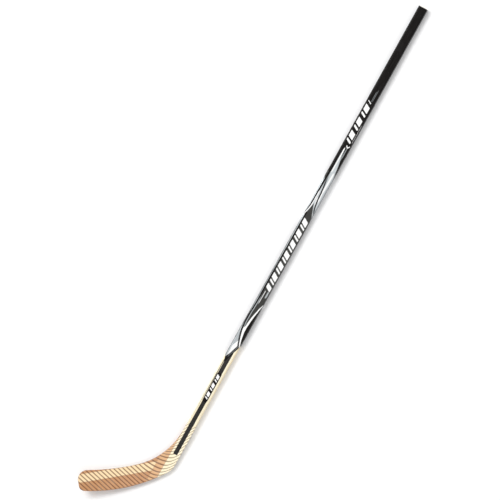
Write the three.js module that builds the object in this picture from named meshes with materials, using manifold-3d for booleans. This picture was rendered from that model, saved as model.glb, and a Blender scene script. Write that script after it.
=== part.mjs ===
// An ice hockey stick: a laminated wooden shaft, slotted at the heel to take the tongue of a heel block,
// and a blade of edge-glued boards, all inside a glass-fibre sock, with a printed film on the upper shaft.
//
// Frame: X along the shaft towards the butt, Y towards the blade, Z up from the surface the stick lies on.
// The shaft lies on its back wide face at Z = 0, with the blade's hollow side up. Millimetres.
import * as THREE from "three";
import { mergeVertices } from "three/addons/utils/BufferGeometryUtils.js";
import Module from "manifold-3d";

const wasm = await Module();
wasm.setup();

// ---------------------------------------------------------------- driving dimensions

const STICK_LENGTH = 1600; // from the heel to the butt, along the shaft
const SHAFT_WIDTH = 28.5; // over the film
const SHAFT_THICKNESS = 19; // over the film
const FILM = 0.4; // from the wood to the outside of the printed film
const FILM_GAP = 0.1; // of which the adhesive takes this much
const FILM_START = 440; // from the heel
const CORNER_RADIUS = 4; // on the shaft's four long edges
const VENEER = 1.2; // hardwood face plies
const CORE_MIDDLE = 4.6; // middle lamella, and so the width of the heel slot
const SLOT_DEPTH = 95; // the slot's floor, from the heel
const STRIP_WIDTH = 13.5; // dark reinforcing strips let into both wide faces
const STRIP_DEPTH = 0.6;
const STRIP_START = 79; // the strips' squared lower ends, from the heel
const TAPER_START = 15; // the shaft thins from TAPER_END down to TAPER_START
const TAPER_END = 230;

const BLADE_ANGLE = THREE.MathUtils.degToRad(129); // from the shaft's +X to the blade's run from heel to toe
const TOE = 247.5; // along the blade, from where the blade's frame crosses the heel
const BLADE_THICK_HEEL = 7.2;
const BLADE_THICK_TOE = 5.8;
const HEEL_RADIUS = 50; // rounds the back of the heel
const HEEL_START = 49; // where that round leaves the shaft's edge
const HEEL_TURN = THREE.MathUtils.degToRad(33.5);
const SOLE_RADIUS = 500; // rocker of the bottom edge
const THROAT_RADIUS = 215; // the sweep from shaft to top edge
const THROAT_START = 157;
const THROAT_TURN = THREE.MathUtils.degToRad(48);
const TOP_RADIUS = 700; // the slight hollow of the top edge
const TOE_RADIUS_SOLE = 17;
const TOE_RADIUS_TOP = 27;
const CURVE_START = 40; // along the blade, where it starts to curve out of its plane
const CURVE_RADIUS = 800;

const LOWER_GLUE_LINE = 26; // across the blade, between the bottom and the middle board
const UPPER_GLUE_LINE = 51; // between the middle and the top board
const BLOCK_WIDTH = 23.5; // heel block, beside the shaft
const TONGUE_LENGTH = 14; // the boards' tongues in the heel block
const TONGUE_THICK = 2.4;
const GLUE = 0.2; // glue line between mating pieces
const SLIVER = 0.35; // a feathered end stops at this width

const SOCK_WALL = 0.5;
const SOCK_TOP = 180; // how far the sock reaches up the shaft, from the heel
const STRIP_PAST_SOCK = 2; // the strips stay flush with the sock this far past its upper end
const STRIP_EASE = 12; // and come down to the wood's face over this length
const SPINE_RADIUS = 180; // bend of the middle line from shaft to blade
const BLADE_MIDDLE = 25.5; // where the middle line runs, across the blade

// How finely curved stretches are stepped.
const ARC_STEP = THREE.MathUtils.degToRad(1);
const CORNER_STEPS = 5;
const HEEL_STEPS = 8;
const TAPER_STEPS = 14;
const FEATHER_STEPS = 6;
const TONGUE_STEPS = 4;
const FAN_STEPS = 16;
const BEND_STEPS = 24;
const BLADE_STEPS = 12;
const TOE_STEPS = 9;
const ROW_STEPS = 4; // across the blade

// ---------------------------------------------------------------- values that follow from them

const MID = SHAFT_THICKNESS / 2; // height of the shaft's and the heel's middle plane
const WOOD_HALF = SHAFT_WIDTH / 2 - FILM;
const WOOD_THICK = SHAFT_THICKNESS - 2 * FILM;
const BLOCK_EDGE = WOOD_HALF + BLOCK_WIDTH; // the scarf line where the boards end, parallel to the shaft
const QUARTER_TURN = Math.PI / 2;
const HALF_TURN = Math.PI;
const FULL_TURN = 2 * Math.PI;
const RUN = polar(1, BLADE_ANGLE); // unit vector along the blade, heel to toe
const RISE = polar(1, BLADE_ANGLE - QUARTER_TURN); // unit vector across it, sole to top edge
const SHAFT_RUN = new THREE.Vector2(1, 0);
const SHAFT_RISE = new THREE.Vector2(0, 1);

function polar(radius, angle) {
  return new THREE.Vector2(Math.cos(angle), Math.sin(angle)).multiplyScalar(radius);
}

// ---------------------------------------------------------------- thickness and curve of the wood

// Total thickness at a plan point: full on the shaft, easing down to the blade's own thin taper.
function thicknessAt(point) {
  const along = THREE.MathUtils.clamp(point.dot(RUN) / TOE, 0, 1);
  const blade = THREE.MathUtils.lerp(BLADE_THICK_HEEL, BLADE_THICK_TOE, along);
  const full = THREE.MathUtils.smoothstep(point.x, TAPER_START, TAPER_END);
  return THREE.MathUtils.lerp(blade, WOOD_THICK, full);
}

// How far the blade has curved up at a plan point: a parabola of CURVE_RADIUS past CURVE_START.
function curveAt(point) {
  return Math.max(point.dot(RUN) - CURVE_START, 0) ** 2 / (2 * CURVE_RADIUS);
}

// A point over a plan point, half the thickness away from the middle: to the back at side -1, the front at 1.
function facePoint(point, side, half = thicknessAt(point) / 2) {
  return new THREE.Vector3(point.x, point.y, MID + curveAt(point) + side * half);
}

// ---------------------------------------------------------------- plan outline

// A run of points on an arc. wood is 1 where the wood lies inside the circle and -1 where it lies outside.
function arcPoints({ centre, radius, from, to, wood }, offset) {
  const steps = Math.ceil(Math.abs(to - from) / ARC_STEP);
  return Array.from({ length: steps + 1 }, (_, i) =>
    polar(radius + wood * offset, THREE.MathUtils.lerp(from, to, i / steps)).add(centre),
  );
}

// The angle at which an arc hands over to the toe's corner, whose centre lies its own radius inside the toe.
function toeHandover(centre, reach, corner) {
  return BLADE_ANGLE + Math.acos((TOE - corner - centre.dot(RUN)) / reach);
}

// The sole, from the shaft's outer edge round the heel to the middle of the toe.
function soleEdge(offset = 0) {
  const down = -QUARTER_TURN;
  const heelCentre = new THREE.Vector2(HEEL_START, HEEL_RADIUS - WOOD_HALF);
  const heelEnd = down - HEEL_TURN;
  const soleCentre = polar(HEEL_RADIUS - SOLE_RADIUS, heelEnd).add(heelCentre);
  const soleEnd = toeHandover(soleCentre, SOLE_RADIUS - TOE_RADIUS_SOLE, TOE_RADIUS_SOLE);
  const cornerCentre = polar(SOLE_RADIUS - TOE_RADIUS_SOLE, soleEnd).add(soleCentre);
  return [
    new THREE.Vector2(STICK_LENGTH, -WOOD_HALF - offset),
    ...arcPoints({ centre: heelCentre, radius: HEEL_RADIUS, from: down, to: heelEnd, wood: 1 }, offset),
    ...arcPoints(
      { centre: soleCentre, radius: SOLE_RADIUS, from: heelEnd, to: soleEnd - FULL_TURN, wood: 1 },
      offset,
    ),
    ...arcPoints(
      { centre: cornerCentre, radius: TOE_RADIUS_SOLE, from: soleEnd, to: BLADE_ANGLE, wood: 1 },
      offset,
    ),
  ];
}

// The top edge, from the shaft's inner edge through the throat to the middle of the toe.
function topEdge(offset = 0) {
  const down = -QUARTER_TURN;
  const throatCentre = new THREE.Vector2(THROAT_START, THROAT_RADIUS + WOOD_HALF);
  const throatEnd = down - THROAT_TURN;
  const topCentre = polar(THROAT_RADIUS - TOP_RADIUS, throatEnd).add(throatCentre);
  const topEnd = toeHandover(topCentre, TOP_RADIUS + TOE_RADIUS_TOP, TOE_RADIUS_TOP);
  const cornerCentre = polar(TOP_RADIUS + TOE_RADIUS_TOP, topEnd).add(topCentre);
  return [
    new THREE.Vector2(STICK_LENGTH, WOOD_HALF + offset),
    ...arcPoints(
      { centre: throatCentre, radius: THROAT_RADIUS, from: down, to: throatEnd, wood: -1 },
      offset,
    ),
    ...arcPoints(
      { centre: topCentre, radius: TOP_RADIUS, from: throatEnd, to: topEnd - FULL_TURN, wood: -1 },
      offset,
    ),
    ...arcPoints(
      {
        centre: cornerCentre,
        radius: TOE_RADIUS_TOP,
        from: topEnd - HALF_TURN,
        to: BLADE_ANGLE,
        wood: 1,
      },
      offset,
    ),
  ];
}

// Where an edge passes a given distance along one direction, its distance along the other.
function acrossAt(edge, along, across, distance) {
  for (let i = 1; i < edge.length; i++) {
    const a = edge[i - 1].dot(along);
    const b = edge[i].dot(along);
    if ((a - distance) * (b - distance) <= 0 && a !== b) {
      const share = (distance - a) / (b - a);
      return THREE.MathUtils.lerp(edge[i - 1].dot(across), edge[i].dot(across), share);
    }
  }
  throw new Error("the edge never reaches " + distance);
}

// The first point of an edge met from a point in a direction.
function hit(edge, origin, direction) {
  const across = new THREE.Vector2(-direction.y, direction.x);
  const reach = acrossAt(edge, across, direction, origin.dot(across));
  return origin.clone().addScaledVector(direction, reach - origin.dot(direction));
}

// ---------------------------------------------------------------- solids

// A closed solid through a row of convex loops with equally many points, facing out.
function loft(loops) {
  const count = loops[0].length;
  const vertices = loops.flat().flatMap((p) => [p.x, p.y, p.z]);
  const faces = [];
  const quad = (a, b, c, d) => faces.push(a, b, c, a, c, d);
  for (let k = 1; k < loops.length; k++)
    for (let i = 0; i < count; i++) {
      const j = (i + 1) % count;
      quad((k - 1) * count + i, (k - 1) * count + j, k * count + j, k * count + i);
    }
  const last = (loops.length - 1) * count;
  for (let i = 2; i < count; i++) {
    faces.push(0, i, i - 1);
    faces.push(last, last + i - 1, last + i);
  }
  const geometry = new THREE.BufferGeometry();
  geometry.setAttribute("position", new THREE.Float32BufferAttribute(vertices, 3));
  geometry.setIndex(faces);
  if (signedVolume(geometry) < 0) geometry.setIndex(faces.toReversed());
  return geometry;
}

function signedVolume(geometry) {
  const position = geometry.getAttribute("position");
  const [a, b, c] = [new THREE.Vector3(), new THREE.Vector3(), new THREE.Vector3()];
  let total = 0;
  for (let i = 0; i < geometry.index.count; i += 3) {
    a.fromBufferAttribute(position, geometry.index.getX(i));
    b.fromBufferAttribute(position, geometry.index.getX(i + 1));
    c.fromBufferAttribute(position, geometry.index.getX(i + 2));
    total += a.dot(b.cross(c)) / 6;
  }
  return total;
}

function toSolid(geometry) {
  const bare = new THREE.BufferGeometry();
  bare.setAttribute("position", geometry.getAttribute("position").clone());
  bare.setIndex(geometry.index.clone());
  const merged = mergeVertices(bare);
  return new wasm.Manifold(
    new wasm.Mesh({
      numProp: 3,
      vertProperties: new Float32Array(merged.attributes.position.array),
      triVerts: new Uint32Array(merged.index.array),
    }),
  );
}

function fromSolid(solid) {
  const mesh = solid.getMesh();
  const geometry = new THREE.BufferGeometry();
  geometry.setAttribute("position", new THREE.Float32BufferAttribute(mesh.vertProperties, 3));
  geometry.setIndex([...mesh.triVerts]);
  return geometry;
}

function cut(geometry, ...tools) {
  return fromSolid(tools.reduce((solid, tool) => solid.subtract(toSolid(tool)), toSolid(geometry)));
}

function join(a, b) {
  return fromSolid(toSolid(a).add(toSolid(b)));
}

// The same solid on the back of the stick: mirrored in the middle plane, so its faces are turned round too.
function onBack(geometry) {
  const mirrored = geometry.clone();
  const position = mirrored.getAttribute("position");
  for (let i = 0; i < position.count; i++) position.setZ(i, 2 * MID - position.getZ(i));
  mirrored.setIndex([...geometry.index.array].reverse());
  return mirrored;
}

// Evenly spaced values from one number to another, in count steps, with both ends included.
function spaced(from, to, count) {
  return Array.from({ length: count + 1 }, (_, i) => THREE.MathUtils.lerp(from, to, i / count));
}

// ---------------------------------------------------------------- shaft

const SOLE = soleEdge();
const TOP = topEdge();
// The shaft's long edges are rounded above the heel and square where the heel block is glued beside it.
function cornerAt(x) {
  const full = THREE.MathUtils.smoothstep(x, THROAT_START, TAPER_END);
  return THREE.MathUtils.lerp(SLIVER, CORNER_RADIUS, full);
}

// Half the shaft's width at a height above its middle plane.
function halfWidthAt(x, height) {
  const radius = cornerAt(x);
  const over = height - (thicknessAt(new THREE.Vector2(x, 0)) / 2 - radius);
  return over <= 0 ? WOOD_HALF : WOOD_HALF - radius + Math.sqrt(Math.max(radius ** 2 - over ** 2, 0));
}

// One ply's section at x, between two heights above the middle plane, its outer corner following the round.
function plySection(x, low, high) {
  const face = thicknessAt(new THREE.Vector2(x, 0)) / 2;
  const top = Math.min(high, face);
  const roundStart = Math.max(low, face - cornerAt(x));
  const round = spaced(0, QUARTER_TURN, CORNER_STEPS).map((a) =>
    THREE.MathUtils.lerp(roundStart, top, Math.sin(a)),
  );
  const heights = roundStart > low ? [low, ...round] : round;
  const outer = x < HEEL_START ? -acrossAt(SOLE, SHAFT_RUN, SHAFT_RISE, x) : WOOD_HALF;
  const right = heights.map((h) => new THREE.Vector3(x, -Math.min(outer, halfWidthAt(x, h)), MID + h));
  const left = heights.map((h) => new THREE.Vector3(x, halfWidthAt(x, h), MID + h));
  return [...right, ...left.reverse()];
}

// Where the sole cuts across the shaft's inner edge: the lowest point of the shaft's cheeks.
const CHEEK_START = acrossAt(SOLE, SHAFT_RISE, SHAFT_RUN, WOOD_HALF - SLIVER);
const HEEL_STATIONS = [
  ...spaced(CHEEK_START, HEEL_START, HEEL_STEPS),
  ...spaced(HEEL_START, TAPER_END, TAPER_STEPS).slice(1),
];

function coreCheek() {
  const low = CORE_MIDDLE / 2;
  const high = WOOD_THICK / 2 - VENEER;
  const stations = [...HEEL_STATIONS, STICK_LENGTH];
  return loft(stations.map((x) => plySection(x, low, high)));
}

function coreMiddle() {
  const half = CORE_MIDDLE / 2;
  const corners = [
    [-1, -1],
    [1, -1],
    [1, 1],
    [-1, 1],
  ];
  return loft(
    [SLOT_DEPTH + GLUE, STICK_LENGTH].map((x) =>
      corners.map(([side, level]) => new THREE.Vector3(x, side * WOOD_HALF, MID + level * half)),
    ),
  );
}

// A face ply feathers out where the taper runs through it.
function faceVeneer() {
  const low = WOOD_THICK / 2 - VENEER;
  const start = spaced(TAPER_START, TAPER_END, TAPER_END - TAPER_START).find(
    (x) => thicknessAt(new THREE.Vector2(x, 0)) / 2 - low > SLIVER,
  );
  const stations = [...spaced(start, TAPER_END, FEATHER_STEPS), STICK_LENGTH];
  return loft(stations.map((x) => plySection(x, low, WOOD_THICK / 2)));
}

// A strip is flush with the face, and below the sock's upper end it stands up to be flush with the sock.
function strip(allowance = 0) {
  const start = STRIP_START - allowance;
  const end = STICK_LENGTH + allowance;
  const easeStart = SOCK_TOP + STRIP_PAST_SOCK;
  const easeEnd = easeStart + STRIP_EASE;
  const half = STRIP_WIDTH / 2 + allowance;
  return loft(
    [...spaced(start, easeStart, TAPER_STEPS), ...spaced(easeEnd, TAPER_END, FEATHER_STEPS), end].map((x) => {
      const face = MID + thicknessAt(new THREE.Vector2(x, 0)) / 2;
      const proud = (GLUE + SOCK_WALL) * (1 - THREE.MathUtils.smoothstep(x, easeStart, easeEnd));
      const top = face + proud + allowance;
      const bottom = face - STRIP_DEPTH - allowance;
      return [
        new THREE.Vector3(x, -half, bottom),
        new THREE.Vector3(x, half, bottom),
        new THREE.Vector3(x, half, top),
        new THREE.Vector3(x, -half, top),
      ];
    }),
  );
}

// A rounded rectangle's loop at x, grown outwards from the wood.
function shaftLoop(x, grown) {
  const shape = new THREE.Vector2(WOOD_HALF + grown, WOOD_THICK / 2 + grown);
  const radius = CORNER_RADIUS + grown;
  const loop = [];
  for (const [sideY, sideZ, from] of [
    [1, 1, 0],
    [-1, 1, 1],
    [-1, -1, 2],
    [1, -1, 3],
  ])
    for (const turn of spaced(0, 1, CORNER_STEPS)) {
      const round = polar(radius, (from + turn) * QUARTER_TURN);
      loop.push(
        new THREE.Vector3(
          x,
          sideY * (shape.x - radius) + round.x,
          MID + sideZ * (shape.y - radius) + round.y,
        ),
      );
    }
  return loop;
}

// The printed film: a thin sleeve round the upper shaft, open at both ends.
function film() {
  const overrun = 1;
  const outer = loft([FILM_START, STICK_LENGTH].map((x) => shaftLoop(x, FILM)));
  const inner = loft([FILM_START - overrun, STICK_LENGTH + overrun].map((x) => shaftLoop(x, FILM_GAP)));
  return cut(outer, inner);
}

// ---------------------------------------------------------------- heel block and boards

// A flat solid beside the shaft: at each x it spans from low(x) to high(x). Where no half thickness is
// given, it is as thick as the wood there.
function acrossShaft(stations, low, high, halfThick) {
  return loft(
    stations.map((x) => {
      const ends = [new THREE.Vector2(x, low(x)), new THREE.Vector2(x, high(x))];
      const [a, b] = ends.map((p) => ({ p, half: halfThick ?? thicknessAt(p) / 2 }));
      return [
        new THREE.Vector3(x, a.p.y, MID - a.half),
        new THREE.Vector3(x, b.p.y, MID - b.half),
        new THREE.Vector3(x, b.p.y, MID + b.half),
        new THREE.Vector3(x, a.p.y, MID + a.half),
      ];
    }),
  );
}

// The block beside the shaft, with the tongue that fills the shaft's slot, and its own slot for the boards.
function heelBlock() {
  const inner = WOOD_HALF + GLUE;
  const outer = BLOCK_EDGE - GLUE / 2;
  const soleY = (x) => acrossAt(SOLE, SHAFT_RUN, SHAFT_RISE, x);
  const topY = (x) => acrossAt(TOP, SHAFT_RUN, SHAFT_RISE, x);
  const first = acrossAt(SOLE, SHAFT_RISE, SHAFT_RUN, outer - SLIVER);
  const shaftSide = acrossAt(SOLE, SHAFT_RISE, SHAFT_RUN, inner);
  const throat = acrossAt(TOP, SHAFT_RISE, SHAFT_RUN, outer);
  const last = acrossAt(TOP, SHAFT_RISE, SHAFT_RUN, inner + SLIVER);
  const stations = [
    ...spaced(first, shaftSide, TONGUE_STEPS),
    ...spaced(shaftSide, throat, TONGUE_STEPS).slice(1),
    ...spaced(throat, last, HEEL_STEPS).slice(1),
  ];
  const block = acrossShaft(
    stations,
    (x) => (x < shaftSide ? soleY(x) : inner),
    (x) => (x > throat ? topY(x) : outer),
  );
  const intoBlock = inner + SLIVER;
  const tongue = acrossShaft(
    spaced(shaftSide, SLOT_DEPTH, TAPER_STEPS),
    (x) => (x < HEEL_START ? soleY(x) : -WOOD_HALF),
    () => intoBlock,
    CORE_MIDDLE / 2 - GLUE / 2,
  );
  const slotFloor = BLOCK_EDGE - TONGUE_LENGTH - GLUE;
  const slotEnd = acrossAt(TOP, SHAFT_RISE, SHAFT_RUN, slotFloor) + TONGUE_LENGTH;
  const slot = acrossShaft(
    [first - TONGUE_LENGTH, slotEnd],
    () => slotFloor,
    () => BLOCK_EDGE + GLUE,
    TONGUE_THICK / 2 + GLUE,
  );
  return cut(join(block, tongue), slot);
}

// A row of points straight across the blade, from one edge to the other.
function between(low, high) {
  return spaced(0, 1, ROW_STEPS).map((share) => low.clone().lerp(high, share));
}

// A point of the blade's plan from its own coordinates, along and across.
function bladePoint(along, across) {
  return RUN.clone().multiplyScalar(along).addScaledVector(RISE, across);
}

// How far along the blade a line parallel to the shaft passes, at a distance across the blade.
function scarfAt(y, across) {
  return (y - across * RISE.y) / RUN.y;
}

// One board between two edges. Its sections fan from the slanted end to a square one, then stay square.
function board(low, high, squareAt, beyond = []) {
  const loop = (lowPoint, highPoint, half) => {
    const row = between(lowPoint, highPoint);
    return [...row.map((p) => facePoint(p, -1, half)), ...row.toReversed().map((p) => facePoint(p, 1, half))];
  };
  const ends = (y) => {
    const from = [low, high].map((edge) => settle((along) => scarfAt(y, edge(along)), CURVE_START));
    return [bladePoint(from[0], low(from[0])), bladePoint(from[1], high(from[1]))];
  };
  const scarf = BLOCK_EDGE + GLUE / 2;
  const [scarfLow, scarfHigh] = ends(scarf);
  const fan = spaced(0, 1, FAN_STEPS).map((share) => [
    THREE.MathUtils.lerp(scarfLow.dot(RUN), squareAt, share),
    THREE.MathUtils.lerp(scarfHigh.dot(RUN), squareAt, share),
  ]);
  const body = [...fan, ...beyond.map((u) => [u, u])].map(([a, b]) =>
    loop(bladePoint(a, low(a)), bladePoint(b, high(b))),
  );
  const tongue = spaced(BLOCK_EDGE - TONGUE_LENGTH, scarf, TONGUE_STEPS).map((y) =>
    loop(...ends(y), TONGUE_THICK / 2),
  );
  return loft([...tongue, ...body]);
}

// Stations round the toe's corners, closing up towards the end. The last stays just off the flat end.
function roundToe(end) {
  const justShort = 0.02;
  return spaced(0, QUARTER_TURN, TOE_STEPS)
    .slice(1)
    .map((a) => end - justShort - TOE_RADIUS_TOP * (1 - Math.sin(a)));
}

// The value that a function settles on when its result is fed back into it.
function settle(step, start) {
  const rounds = 30;
  return spaced(0, 1, rounds).reduce((value) => step(value), start);
}

// How far across the blade each edge lies, at a distance along it.
const soleAcross = (along) => acrossAt(SOLE.slice(1), RUN, RISE, along);
const topAcross = (along) => acrossAt(TOP.slice(1), RUN, RISE, along);

function bottomBoard() {
  return board(soleAcross, () => LOWER_GLUE_LINE - GLUE / 2, TOE - TOE_RADIUS_TOP, roundToe(TOE));
}

function middleBoard() {
  const high = (along) => Math.min(topAcross(along), UPPER_GLUE_LINE - GLUE / 2);
  return board(() => LOWER_GLUE_LINE + GLUE / 2, high, TOE - TOE_RADIUS_TOP, roundToe(TOE));
}

// The top edge's hollow runs through the upper glue line, so what is left of the top board is two pieces.
const SEARCH_STEP = 0.5;
const upperAcross = UPPER_GLUE_LINE + GLUE / 2;
const topBoardSpots = spaced(0, TOE, TOE / SEARCH_STEP).filter((u) => topAcross(u) - upperAcross > SLIVER);
const lastBeforeGap = topBoardSpots.findIndex((u, i) => topBoardSpots[i + 1] - u > 2 * SEARCH_STEP);

function topBoardAtHeel() {
  return board(() => upperAcross, topAcross, topBoardSpots[lastBeforeGap]);
}

function topBoardAtToe() {
  const from = topBoardSpots[lastBeforeGap + 1];
  const to = topBoardSpots.at(-1);
  const rounded = roundToe(TOE).filter((u) => u < to);
  const stations = [...spaced(from, TOE - TOE_RADIUS_TOP, HEEL_STEPS), ...rounded, to];
  return loft(
    stations.map((u) => {
      const [a, b] = [bladePoint(u, upperAcross), bladePoint(u, topAcross(u))];
      return [facePoint(a, -1), facePoint(b, -1), facePoint(b, 1), facePoint(a, 1)];
    }),
  );
}

// ---------------------------------------------------------------- glass sock

const pocket = strip(GLUE); // what a strip leaves free round itself in the wood and the sock

// The middle line from the shaft round to the toe, as points with headings.
function spine(start, end) {
  const bend = HALF_TURN - BLADE_ANGLE;
  const bendStart = (BLADE_MIDDLE + SPINE_RADIUS * (1 - Math.cos(bend))) / Math.sin(bend);
  const centre = new THREE.Vector2(bendStart, SPINE_RADIUS);
  const onShaft = spaced(start, bendStart, TONGUE_STEPS).map((x) => ({
    p: new THREE.Vector2(x, 0),
    turn: 0,
  }));
  const onBend = spaced(0, bend, BEND_STEPS).map((turn) => ({
    p: polar(SPINE_RADIUS, -QUARTER_TURN - turn).add(centre),
    turn,
  }));
  const bladeStart = onBend.at(-1).p.dot(RUN);
  const stations = [...spaced(bladeStart, end - TOE_RADIUS_TOP, BLADE_STEPS), ...roundToe(end)];
  const onBlade = stations.map((u) => ({ p: bladePoint(u, BLADE_MIDDLE), turn: bend }));
  return [...onShaft, ...onBend.slice(1), ...onBlade.slice(1)];
}

// A closed body round the wood from the shaft to the toe, standing off it by offset.
function aroundBlade(offset, shaftEnd) {
  const [sole, top] = [soleEdge(offset), topEdge(offset)];
  const halfAt = (q) => thicknessAt(q) / 2 + offset;
  return loft(
    spine(shaftEnd, TOE + offset).map(({ p, turn }) => {
      const towardsTop = polar(1, QUARTER_TURN - turn);
      const row = between(hit(sole, p, towardsTop), hit(top, p, towardsTop));
      return [
        ...row.map((q) => facePoint(q, 1, halfAt(q))),
        ...row.toReversed().map((q) => facePoint(q, -1, halfAt(q))),
      ];
    }),
  );
}

function sock() {
  const outer = aroundBlade(GLUE + SOCK_WALL, SOCK_TOP);
  const overrun = 3;
  const inner = aroundBlade(GLUE, SOCK_TOP + overrun);
  return cut(outer, inner, pocket, onBack(pocket));
}

// ---------------------------------------------------------------- assembly

const FINISH = {
  aspen: { color: 0xf2e2bd, roughness: 0.45, metalness: 0 },
  birch: { color: 0xf6e8c8, roughness: 0.4, metalness: 0 },
  brownBoard: { color: 0xc08a5c, roughness: 0.4, metalness: 0 },
  creamBoard: { color: 0xf0d3a0, roughness: 0.4, metalness: 0 },
  heelWood: { color: 0xd2a479, roughness: 0.4, metalness: 0 },
  graphite: { color: 0x3c3c3a, roughness: 0.45, metalness: 0 },
  film: { color: 0x1c1816, roughness: 0.3, metalness: 0 },
  glass: { color: 0xe0bf92, roughness: 0.25, metalness: 0 },
};

function piece(name, geometry, finish) {
  const mesh = new THREE.Mesh(geometry, new THREE.MeshStandardMaterial(FINISH[finish]));
  mesh.name = name;
  mesh.geometry.computeVertexNormals();
  return mesh;
}

const cheek = cut(coreCheek(), pocket);
const veneer = cut(faceVeneer(), pocket);

const shaft = new THREE.Group();
shaft.add(
  piece("core_front", cheek, "aspen"),
  piece("core_middle", coreMiddle(), "aspen"),
  piece("core_back", onBack(cheek), "aspen"),
  piece("veneer_front", veneer, "birch"),
  piece("veneer_back", onBack(veneer), "birch"),
  piece("strip_front", strip(), "graphite"),
  piece("strip_back", onBack(strip()), "graphite"),
  piece("graphic_film", film(), "film"),
);

const blade = new THREE.Group();
blade.add(
  piece("heel_block", heelBlock(), "heelWood"),
  piece("board_bottom", bottomBoard(), "brownBoard"),
  piece("board_middle", middleBoard(), "creamBoard"),
  piece("board_top_heel", topBoardAtHeel(), "brownBoard"),
  piece("board_top_toe", topBoardAtToe(), "brownBoard"),
  piece("glass_sock", sock(), "glass"),
);

// The origin is on the shaft's back face, half way along the stick.
const stick = new THREE.Group();
stick.add(shaft, blade);
stick.position.x = -STICK_LENGTH / 2;

export default stick;
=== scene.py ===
"""Looks of a laminated wooden ice hockey stick, built round its CAD frame.

X runs along the shaft towards the butt, Y across it towards the blade, Z up. Metres.
Plan points of the shaft and blade are worked out from the heel, and moved into the frame at the end.
"""

import math

import bpy
import numpy as np
from mathutils import Matrix, Vector


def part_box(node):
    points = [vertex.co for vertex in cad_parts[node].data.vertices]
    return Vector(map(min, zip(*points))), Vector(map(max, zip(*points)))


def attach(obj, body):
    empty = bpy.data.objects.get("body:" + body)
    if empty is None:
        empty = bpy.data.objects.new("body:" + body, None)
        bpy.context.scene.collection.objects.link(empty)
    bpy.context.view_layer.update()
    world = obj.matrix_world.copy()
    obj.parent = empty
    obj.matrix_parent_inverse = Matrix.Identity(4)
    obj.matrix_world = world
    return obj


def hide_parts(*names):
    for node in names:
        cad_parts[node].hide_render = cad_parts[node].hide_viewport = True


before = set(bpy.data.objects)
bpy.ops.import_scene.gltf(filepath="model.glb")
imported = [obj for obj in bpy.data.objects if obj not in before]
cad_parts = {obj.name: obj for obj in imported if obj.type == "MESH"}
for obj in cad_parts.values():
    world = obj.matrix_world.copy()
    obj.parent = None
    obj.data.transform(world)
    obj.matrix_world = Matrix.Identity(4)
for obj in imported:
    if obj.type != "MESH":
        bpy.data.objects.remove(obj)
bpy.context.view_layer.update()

# ------------------------------------------------------------------ driving dimensions

FILM_LOW, FILM_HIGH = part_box("graphic_film")
LENGTH = 2 * FILM_HIGH.x  # heel to butt; the frame's origin is half way
HALF_WIDTH = FILM_HIGH.y  # of the shaft over its film
THICKNESS = FILM_HIGH.z
MIDDLE = THICKNESS / 2
FILM = 0.0004
WOOD_HALF = HALF_WIDTH - FILM
WOOD_THICK = THICKNESS - 2 * FILM
CORNER = 0.004
VENEER = 0.0012
STRIP_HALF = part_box("strip_front")[1].y
TAPER = (0.015, 0.230)  # where the shaft has thinned out, and where it starts to thin

BLADE_ANGLE = math.radians(129)
TOE = 0.2475
BLADE_THICK = (0.0072, 0.0058)  # at the heel and at the toe
HEEL_RADIUS, HEEL_START, HEEL_TURN = 0.050, 0.049, math.radians(33.5)
SOLE_RADIUS = 0.500
THROAT_RADIUS, THROAT_START, THROAT_TURN = 0.215, 0.157, math.radians(48)
TOP_RADIUS = 0.700
TOE_RADIUS_SOLE, TOE_RADIUS_TOP = 0.017, 0.027
CURVE_START, CURVE_RADIUS = 0.040, 0.800
GLUE_LINES = (0.026, 0.051)  # across the blade
BLOCK_EDGE = 0.03735  # where the blade's boards end, measured like Y
SOCK_TOP, SOCK_STAND, SOCK_WALL = 0.180, 0.0002, 0.0005
SOCK_ROUND = 0.0016  # of its edges, over the boards' square ones
STRIP_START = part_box("strip_front")[0].x + LENGTH / 2
SPINE_RADIUS, BLADE_MIDDLE = 0.180, 0.0255

RUN = np.array([math.cos(BLADE_ANGLE), math.sin(BLADE_ANGLE)])
RISE = np.array([RUN[1], -RUN[0]])
MM = 0.001


def srgb(red, green, blue):
    """A colour given in 0 to 255 steps, as the linear values that the shaders use."""
    share = np.array([red, green, blue]) / 255
    linear = np.where(share <= 0.04045, share / 12.92, ((share + 0.055) / 1.055) ** 2.4)
    return (*linear.tolist(), 1.0)


def ease(start, end, value):
    """0 before start, 1 after end, and 3t^2 - 2t^3 in between."""
    t = np.clip((value - start) / (end - start), 0, 1)
    return t * t * (3 - 2 * t)


# ------------------------------------------------------------------ plan outline and thickness


def polar(radius, angle):
    """Points at a radius and angles: radius times cosine and sine."""
    return radius * np.stack([np.cos(angle), np.sin(angle)], axis=-1)


def arc(centre, radius, start, end):
    """Points on a circle from one angle to another, half a degree apart."""
    steps = max(2, int(abs(end - start) / math.radians(0.5)))
    return np.array(centre) + polar(radius, np.linspace(start, end, steps + 1))


def toe_handover(centre, reach, corner):
    """The angle at which a long edge's arc meets the toe's corner, whose centre lies one corner radius short
    of the toe. Off the blade's own angle, its cosine is the run left to that centre over the reach."""
    return BLADE_ANGLE + math.acos((TOE - corner - centre @ RUN) / reach)


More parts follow.
